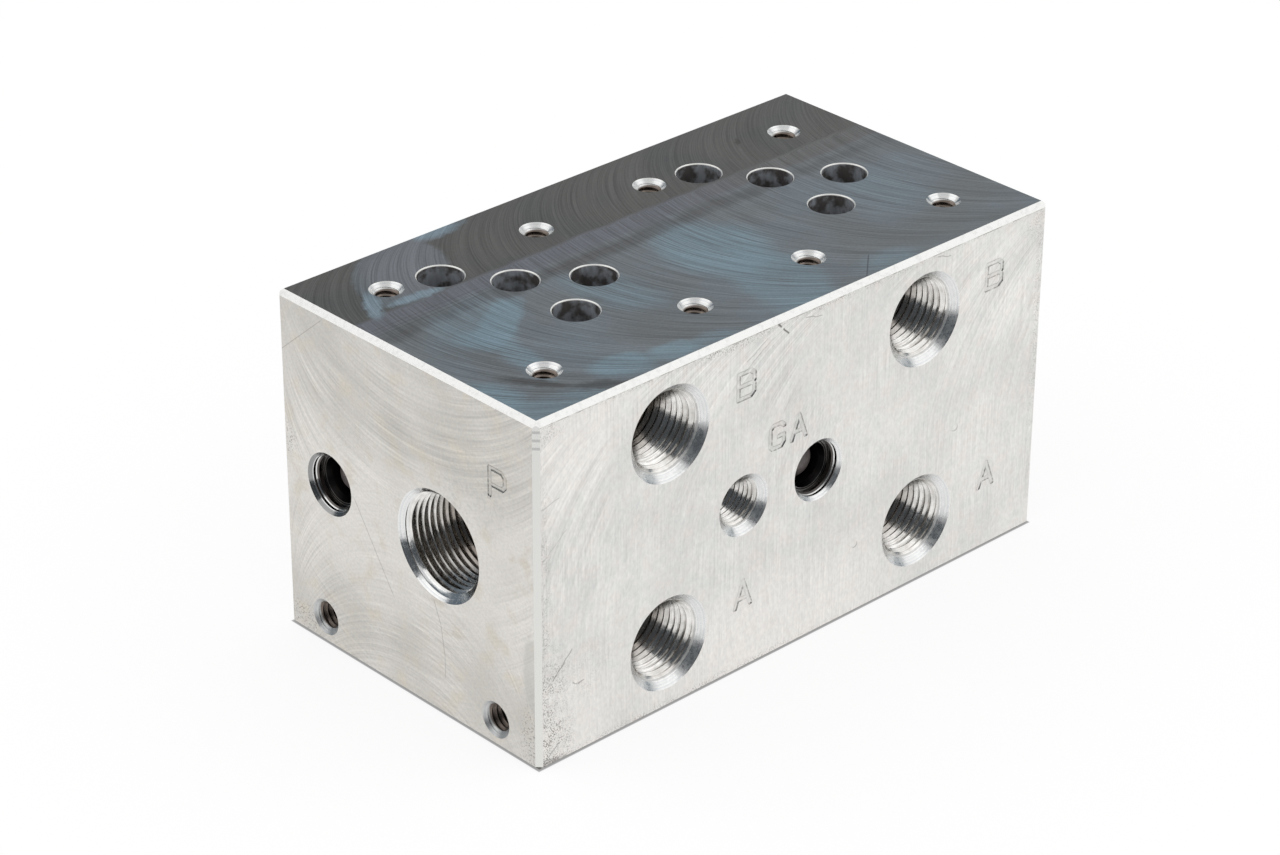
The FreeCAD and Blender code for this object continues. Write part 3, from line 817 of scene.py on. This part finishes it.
def end_finish():
    """The ends: a warmer grey, painted darker than the long sides as shade, crossed by the arcs of
    a face mill from its three passes.
    """
    finish, tree, shader, across, down, sheet, sunk_in, in_front = side_finish("ends", 1, 9)
    cloud = noise(tree, sheet, 0.07, 4)
    # A darker grey than the long sides' metal: painted shade.
    colour = mixed(tree, ramp(tree, cloud, 0.3, 0.7), (200, 197, 191), (211, 208, 203))
    lighter = product(
        tree,
        ramp(tree, down, 18, 38),
        ramp(tree, cloud, 0.25, 0.55, 0.6, 1),
        ramp(tree, down, 74, 58),
    )
    colour = mixed(tree, lighter, colour, (221, 218, 213))
    tint = noise(tree, sheet, 0.16, 4, seed=17)
    colour = mixed(tree, ramp(tree, tint, 0.52, 0.7, 0, 0.7), colour, (209, 202, 190))
    lower = arc_travel(tree, down, across, 45, 43.5, 1)
    upper = arc_travel(tree, down, across, 47, 60, -1)
    left = arc_travel(tree, down, across, 37, 36.5, -1)
    lower_lines = mill_lines(tree, lower, across, 2, 1.8, 0.4, 0.25)
    upper_lines = mill_lines(tree, upper, across, 4, 1.5, 0.4, 0.35)
    left_lines = mill_lines(tree, left, across, 7, 1.5, 0.4, 0.35)
    slanted = less(tree, down, product(tree, across, 0.35))
    lower_share = ramp(tree, slanted, 10, 48, 0, 0.62)
    left_share = patch(tree, sheet, (4, 22), (12, 24), 0, 0.4)
    lines = between(tree, lower_share, upper_lines, lower_lines)
    lines = between(tree, left_share, lines, left_lines)
    worn = product(tree, patch(tree, sheet, (58, 42), (40, 16), -10, 0.6), 0.65)
    cut_share = ramp(tree, noise(tree, sheet, 0.06, 3, seed=21), 0.38, 0.6, 0.35, 1)
    cut_share = product(tree, cut_share, less(tree, 1, worn))
    colour = mixed(tree, cut_share, colour, shade_by(tree, colour, lines, 0.5))
    blots = ramp(tree, noise(tree, sheet, 0.8, 2, seed=44), 0.54, 0.6)
    blotted = patch(tree, sheet, (68, 25), (13, 9), -20, 0.5)
    blots = product(tree, blots, blotted, in_front)
    colour = overlay(tree, colour, blots, 0.4, (190, 188, 182))
    pits = noise(tree, sheet, 1.4, 4, seed=31)
    colour = shade_by(tree, colour, pits, 0.32)
    scratches = (
        ((25, 43), (40, 66), 0.2),
        ((0, 16), (17, 1.5), 0.16),
        ((53.4, 59), (56, 65.5), 0.2),
        ((55.8, 65), (57, 72.8), 0.2),
        ((57, 72.2), (57, 79), 0.15),
    )
    for start, end, width in scratches:
        mark = product(tree, line_mark(tree, sheet, start, end, width), in_front)
        colour = overlay(tree, colour, mark, 0.5, (128, 122, 114))
    torn = shaken(tree, sheet, 1.5, 0.5)
    stale = product(tree, patch(tree, torn, (86.2, 64), (2.2, 9), 0, 0.3), in_front)
    colour = overlay(tree, colour, stale, 0.45, (186, 185, 178))
    spots = ramp(tree, noise(tree, sheet, 1.9, 6, seed=12), 0.55, 0.62)
    scuffs = (((2, 38), (3, 4)), ((4, 85), (8, 4)), ((86, 82), (3, 8)))
    for centre, size in scuffs:
        scuff = product(tree, patch(tree, sheet, centre, size, 0, 0.6), spots, in_front)
        colour = overlay(tree, colour, scuff, 0.6, (112, 108, 104))
    colour = marked(tree, colour, sunk_in, sheet)
    normals = grain(tree, lines, 0.004)
    fill(tree, shader, {"Base Color": colour, "Normal": normals})
    return finish


def bevel_finish():
    """The bevels of the top and the corners: cut last and bright."""
    finish, tree, shader, place = metal_finish("bevels", 0.26)
    x, y, z = axes_of(tree, place)
    streaks = noise(tree, place, 0.7, 3)
    colour = mixed(tree, ramp(tree, streaks, 0.45, 0.75), (229, 229, 227), (218, 218, 216))
    upright = calc(tree, "LESS_THAN", z, HEIGHT - BEVEL_WIDTH)
    colour = mixed(tree, upright, colour, (224, 224, 221))
    # Dark bands near the top of the upright bevel at the near corner: a painted reflection of the
    # dark room.
    ripple = calc(tree, "SINE", product(tree, z, math.pi))
    near_corner = calc(tree, "LESS_THAN", total(tree, x, y), 3 - HALF_LENGTH - HALF_WIDTH)
    ripple = ramp(tree, ripple, 0.2, 0.8)
    painted_dark_bands = product(tree, band(tree, z, 81.6, 87.2, 0.3), ripple, near_corner)
    colour = overlay(tree, colour, painted_dark_bands, 0.35, (110, 110, 112))
    fill(tree, shader, {"Base Color": colour})
    return finish


def foot_finish():
    """The bevels along the bottom: dull, with dirt and painted contact shadow where the bar stands,
    darkest at the ends.
    """
    finish, tree, shader, place = metal_finish("foot_bevels", 0.6)
    fill(tree, shader, {"Metallic": 0.2, "Specular IOR Level": 0.2})
    x = axes_of(tree, place)[0]
    at_end = calc(tree, "GREATER_THAN", calc(tree, "ABSOLUTE", x), HALF_LENGTH - 0.95)
    # Painted contact shadow with some dirt: darker still at the ends.
    colour = mixed(tree, at_end, (172, 170, 166), (112, 110, 106))
    colour = shade_by(tree, colour, noise(tree, place, 1.2, 3), 0.8)
    fill(tree, shader, {"Base Color": colour})
    return finish


def off_axis_of(tree, place):
    """The distance of each point near a plug's mouth from the plug's axis, in millimetres."""
    nearest = None
    for mouth, into in plug_mouths.values():
        off = vector_calc(tree, "SUBTRACT", place, tuple(mouth / MM))
        along = tuple(abs(part) for part in into)
        reach = 0
        for share in (along, tuple(1 - part for part in along)):
            length = vector_calc(tree, "LENGTH", vector_calc(tree, "MULTIPLY", off, share))
            reach = largest(tree, reach, length)
        nearest = reach if nearest is None else smallest(tree, nearest, reach)
    return nearest


def bore_finish():
    """The countersinks and threads: turned bright, with fine rings, and painted shade darker
    further in.
    """
    finish, tree, shader, place = metal_finish("bores", 0.2)
    z = axes_of(tree, place)[2]
    from_ends, from_sides, from_top = depths_of(tree, place)
    in_depth = smallest(tree, from_ends, from_sides, from_top)
    rings = noise(tree, vector_of(tree, in_depth, 0), 4, 3)
    cloud = noise(tree, place, 0.25, 3)
    bright = mixed(tree, ramp(tree, rings, 0.35, 0.65), (236, 236, 233), (220, 222, 224))
    bright = shade_by(tree, bright, cloud, 0.15)
    turned = ramp(tree, between(tree, 0.4, rings, cloud), 0.35, 0.65)
    thread = mixed(tree, turned, (192, 189, 184), (246, 244, 241))
    colour = mixed(tree, ramp(tree, in_depth, 1.6, 2.2), bright, thread)
    # Painted shade: darker further into the holes.
    colour = mixed(tree, ramp(tree, in_depth, 8, 17), colour, (148, 139, 131))

    # Below their cones the small screw holes are painted dark brown: painted shade, with some oil.
    below_cone_shade = ramp(tree, in_depth, 1.2, 1.5)
    in_foot = product(tree, ramp(tree, z, 14, 13), ramp(tree, from_ends, 30, 20))
    beside = smallest(tree, from_ends, from_sides)
    in_bolt_hole = calc(tree, "LESS_THAN", from_top, product(tree, beside, 0.999))
    colour = overlay(tree, colour, in_foot, 0.55, (172, 173, 173))
    small = product(tree, largest(tree, in_foot, in_bolt_hole), below_cone_shade)
    colour = mixed(tree, small, colour, (122, 112, 105))

    # The lead and seat walls of the plug bores are painted dark: painted shade inside the bores.
    in_plug_bore = ramp(tree, off_axis_of(tree, place), 8.4, 8.2)
    lead_wall = band(tree, in_depth, PLUG_MOUTH - PLUG_LEAD + 0.2, PLUG_LEAD_DEPTH - 0.1, 0.05)
    seat_wall = ramp(tree, in_depth, PLUG_LEAD_DEPTH + 0.1, PLUG_LEAD_DEPTH + 0.3)
    plug_wall_shade = product(tree, largest(tree, lead_wall, seat_wall), in_plug_bore)
    colour = mixed(tree, plug_wall_shade, colour, (92, 88, 86))
    # The mouths of the end plugs are painted greyer: painted shade that dims their reflection.
    in_end = calc(tree, "LESS_THAN", from_ends, from_sides)
    dimmed_end_cone = product(tree, in_end, ramp(tree, in_depth, 0.85, 0.7))
    colour = overlay(tree, colour, dimmed_end_cone, in_plug_bore, (150, 151, 150))
    streaks = between(tree, 0.5, rings, noise(tree, place, 0.9, 4, seed=13))
    roughness = ramp(tree, streaks, 0.38, 0.62, 0.12, 0.28)
    roughness = calc(tree, "MULTIPLY_ADD", in_foot, 0.26, roughness)
    softened = product(tree, ramp(tree, in_depth, 2.2, 1.6), 0.1)
    softened = calc(tree, "MULTIPLY_ADD", band(tree, in_depth, 1.75, 2.1, 0.12), 0.25, softened)
    in_side = less(tree, 1, in_end)
    roughness = calc(tree, "MULTIPLY_ADD", softened, in_side, roughness)
    fill(tree, shader, {"Base Color": colour, "Roughness": roughness})
    return finish


def reamed_finish():
    """The walls of the valve ports: reamed, with faint streaks down them, and painted shade with a
    film of oil below the bright rim.
    """
    finish, tree, shader, place = metal_finish("reamed_ports", 0.4)
    fill(tree, shader, {"Metallic": 0.6})
    z = axes_of(tree, place)[2]
    streaks = noise(tree, place, 0.9, 3, (1, 1, 0.2))
    clouds = noise(tree, place, 0.3, 4, seed=6)
    # The grey walls below the rim: painted shade inside the ports, with some oil.
    colour = mixed(tree, ramp(tree, clouds, 0.4, 0.6), (186, 191, 198), (112, 108, 106))
    colour = shade_by(tree, colour, streaks, 1)
    colour = mixed(tree, ramp(tree, z, HEIGHT - 0.2, HEIGHT - 0.5), (240, 240, 237), colour)
    fill(tree, shader, {"Base Color": colour})
    return finish


FACE_TOLERANCE = 0.01
MARK_TOLERANCE = 0.4
BEVEL_WIDTH = 1.4
finishes = (
    bore_finish(),
    valve_face_finish(),
    work_side_finish(),
    end_finish(),
    bevel_finish(),
    reamed_finish(),
    foot_finish(),
)
bores, valve_face, long_sides, ends, bevels, reamed_ports, foot_bevels = range(len(finishes))
mesh = block.data
corners = np.empty(len(mesh.vertices) * 3)
mesh.vertices.foreach_get("co", corners)
corners = corners.reshape(-1, 3)
sunk = np.concatenate([corners - np.array(low), np.array(high) - corners], axis=1) / MM
loops = np.empty(len(mesh.loops), dtype=int)
mesh.loops.foreach_get("vertex_index", loops)
starts = np.empty(len(mesh.polygons), dtype=int)
mesh.polygons.foreach_get("loop_start", starts)
deepest = np.maximum.reduceat(sunk[loops], starts)
zone = np.full(len(starts), bores)
for port in valve_ports:
    off_axis = np.hypot(corners[:, 0] - port.x, corners[:, 1] - port.y) / MM
    within = np.maximum.reduceat(off_axis[loops], starts) < PORT_MOUTH + 0.1
    zone[within & (deepest[:, 5] > FACE_TOLERANCE)] = reamed_ports
on_bevel = (deepest < BEVEL_WIDTH).sum(axis=1) >= 2
zone[on_bevel] = bevels
zone[on_bevel & (deepest[:, 2] < BEVEL_WIDTH)] = foot_bevels
for plane, tolerance, flat in (
    (0, MARK_TOLERANCE, ends),
    (3, MARK_TOLERANCE, ends),
    (1, MARK_TOLERANCE, long_sides),
    (4, MARK_TOLERANCE, long_sides),
    (2, FACE_TOLERANCE, long_sides),
    (5, FACE_TOLERANCE, valve_face),
):
    zone[(deepest[:, plane] < tolerance) & ~on_bevel] = flat
mesh.materials.clear()
for finish in finishes:
    mesh.materials.append(finish)
mesh.polygons.foreach_set("material_index", zone.astype(np.int32))
mesh.polygons.foreach_set("use_smooth", [True] * len(mesh.polygons))
mesh.set_sharp_from_angle(angle=math.radians(25))
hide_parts("manifold_body")
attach(block, "root")


# The ball plugs
# Each closes a drilling with a steel ball pressed into a thin phosphated sleeve, so the nodes of
# the construction model stay as they are and take their steel here.
SLEEVE_OUTER, SLEEVE_INNER = 6.45, 5.85


def sleeve_finish():
    """Turned steel, dark grey, with a painted highlight on the two edges of its rim."""
    finish, tree, shader, place = metal_finish("plug_sleeve", 0.3)
    from_ends, from_sides, _ = depths_of(tree, place)
    in_depth = smallest(tree, from_ends, from_sides)
    turning = noise(tree, vector_of(tree, in_depth, 0), 4)
    colour = mixed(tree, turning, (66, 64, 63), (40, 38, 38))
    from_axis = off_axis_of(tree, place)
    edges = largest(
        tree,
        ramp(tree, from_axis, SLEEVE_OUTER - 0.16, SLEEVE_OUTER - 0.06),
        band(tree, from_axis, SLEEVE_INNER - 0.02, SLEEVE_INNER + 0.07, 0.04),
    )
    on_rim = ramp(tree, in_depth, PLUG_RIM_DEPTH + 0.12, PLUG_RIM_DEPTH + 0.05)
    colour = mixed(tree, on_rim, colour, (72, 70, 69))
    # A light grey on the rim's edges: a painted highlight.
    rim_highlight = product(tree, edges, on_rim)
    colour = mixed(tree, rim_highlight, colour, (196, 196, 194))
    fill(tree, shader, {"Base Color": colour})
    return finish


def ball_finish():
    """A ground ball under black oxide."""
    finish, tree, shader, place = metal_finish("plug_ball", 0.4)
    fill(tree, shader, {"Metallic": 0.1, "Specular IOR Level": 0.35})
    cloud = noise(tree, place, 0.5, 4)
    colour = mixed(tree, ramp(tree, cloud, 0.4, 0.7), (94, 88, 86), (114, 107, 105))
    normals = grain(tree, noise(tree, place, 1.2, 3), 0.006)
    fill(tree, shader, {"Base Color": colour, "Normal": normals})
    return finish


plug_sleeve = sleeve_finish()
plug_ball = ball_finish()
for plug in plug_mouths:
    for node, finish in ((plug + "_sleeve", plug_sleeve), (plug + "_ball", plug_ball)):
        for slot in frame["nodes"][node].material_slots:
            slot.material = finish


# The studio
# A plain white table under soft light, with the camera where the photograph was taken from. Dark
# cards stand for the rest of the room, and only the metal sees them.
camera_data = bpy.data.cameras.new("camera")
camera_data.lens = 107.95
camera_data.sensor_width = 36.0
camera = in_scene("camera", camera_data)
camera_place = Vector((-0.56031, -0.58334, 0.48136))
sight = Vector((0.60235, 0.63841, -0.47918)).normalized()
roll = math.radians(0.25)
level_right = sight.cross(UP).normalized()
level_up = level_right.cross(sight)
right = level_right * math.cos(roll) + level_up * math.sin(roll)
up = right.cross(sight)
turn = Matrix((right, up, -sight)).transposed().to_4x4()
camera.matrix_world = Matrix.Translation(camera_place) @ turn
bpy.context.scene.camera = camera
bpy.context.scene.view_settings.view_transform = "Standard"


def surface(name, corners, faces):
    """A staged mesh that isn't part of the object, with a material of its own."""
    mesh = bpy.data.meshes.new(name)
    mesh.from_pydata(corners, [], faces)
    piece = in_scene(name, mesh)
    finish = bpy.data.materials.new(name)
    finish.use_nodes = True
    mesh.materials.append(finish)
    return piece, finish.node_tree, finish.node_tree.nodes["Principled BSDF"]


REACH = 3.0
OWN_WHITE = 0.83
floor, floor_tree, floor_shader = surface(
    "floor",
    [(-REACH, -REACH, 0), (REACH, -REACH, 0), (REACH, REACH, 0), (-REACH, REACH, 0)],
    [(0, 1, 2, 3)],
)
# 1 for what the camera, a mirror or a glass shows, and 0 for the light that falls on things.
path = add_node(floor_tree, "ShaderNodeLightPath")
rays = (path[f"Is {kind} Ray"] for kind in ("Camera", "Glossy", "Transmission"))
shown = largest(floor_tree, *rays)
floor_colour = add_node(floor_tree, "ShaderNodeMix", {0: shown, 2: 0.9, 3: 0.2})[0]
# The table's own white stops under the block's edges, where its shadow is.
floor_place = axes_of(floor_tree, add_node(floor_tree, "ShaderNodeTexCoord")["Object"])
clear_of_block = 0
for side, white_beneath in ((0, 0.15), (1, 0.32)):
    off = calc(floor_tree, "ABSOLUTE", floor_place[side])
    edge = high[side]
    clear = ramp(floor_tree, off, edge - 0.3 * MM, edge + 0.2 * MM, white_beneath)
    clear_of_block = largest(floor_tree, clear_of_block, clear)
floor_finish = {
    "Base Color": floor_colour,
    "Emission Strength": product(floor_tree, shown, clear_of_block, OWN_WHITE),
    "Emission Color": (1, 1, 1, 1),
    "Roughness": 1,
    "Specular IOR Level": 0,
}
fill(floor_tree, floor_shader, floor_finish)

# The way each card faces, its bearings at its foot and at its top, its height, where it starts on
# the table, and its light.
CARD_DISTANCE = 0.9
CARD_FOOT = 0.001
STEPS = 24
cards = (
    ("room_card", 226.7, 177, 292, 191, 266, 1.0, 0.33, (0.075, 0.084, 0.094, 1)),
    ("back_card", 90, 60, 165, 70, 158, 0.46, 0.3, (0.13, 0.16, 0.19, 1)),
    ("far_card", -7, -22, 8, -20, 4, 0.4, CARD_DISTANCE, (0.19, 0.23, 0.26, 1)),
)
for name, facing, foot_start, foot_end, top_start, top_end, height, near, light in cards:
    corners, faces = [], []
    for step in range(STEPS + 1):
        share = step / STEPS
        foot = math.radians(foot_start + share * (foot_end - foot_start))
        top = math.radians(top_start + share * (top_end - top_start))
        slant = math.cos(foot - math.radians(facing))
        start = min(near / max(slant, 0.1), CARD_DISTANCE)
        for bearing, distance, z in (
            (foot, start, CARD_FOOT),
            (foot, CARD_DISTANCE, CARD_FOOT),
            (top, CARD_DISTANCE, height),
        ):
            corners.append((distance * math.cos(bearing), distance * math.sin(bearing), z))
        if step:
            this = len(corners) - 3
            faces.append((this - 3, this, this + 1, this - 2))
            faces.append((this - 2, this + 1, this + 2, this - 1))
    card, card_tree, card_shader = surface(name, corners, faces)
    card_finish = {
        "Base Color": (0, 0, 0, 1),
        "Specular IOR Level": 0,
        "Emission Color": light,
        "Emission Strength": 1,
    }
    fill(card_tree, card_shader, card_finish)
    for kind in ("camera", "diffuse", "transmission", "volume_scatter", "shadow"):
        setattr(card, "visible_" + kind, False)

world = bpy.data.worlds.new("studio")
world.use_nodes = True
bpy.context.scene.world = world
sky = world.node_tree
height = axes_of(sky, add_node(sky, "ShaderNodeTexCoord")["Generated"])[2]
light = ramp(sky, height, 0.12, 0.45, 1, 0.72)
fill(sky, sky.nodes["Background"], {"Color": (1, 1, 1, 1), "Strength": light})

middle = Vector((0, 0, 0.045))
LAMP_DISTANCE = 1.25
for name, bearing, rise, width, height, power in (
    ("right_box", -57, 38, 1.6, 0.9, 2.2),
    ("left_box", 152, 44, 1.8, 0.8, 2.2),
):
    box = bpy.data.lights.new(name, "AREA")
    box.shape = "RECTANGLE"
    box.size = width
    box.size_y = height
    box.energy = power
    lamp = in_scene(name, box)
    bearing, rise = math.radians(bearing), math.radians(rise)
    level = math.cos(rise)
    toward = Vector((level * math.cos(bearing), level * math.sin(bearing), math.sin(rise)))
    lamp.location = middle + toward * LAMP_DISTANCE
    lamp.rotation_euler = (-toward).to_track_quat("-Z", "Y").to_euler()
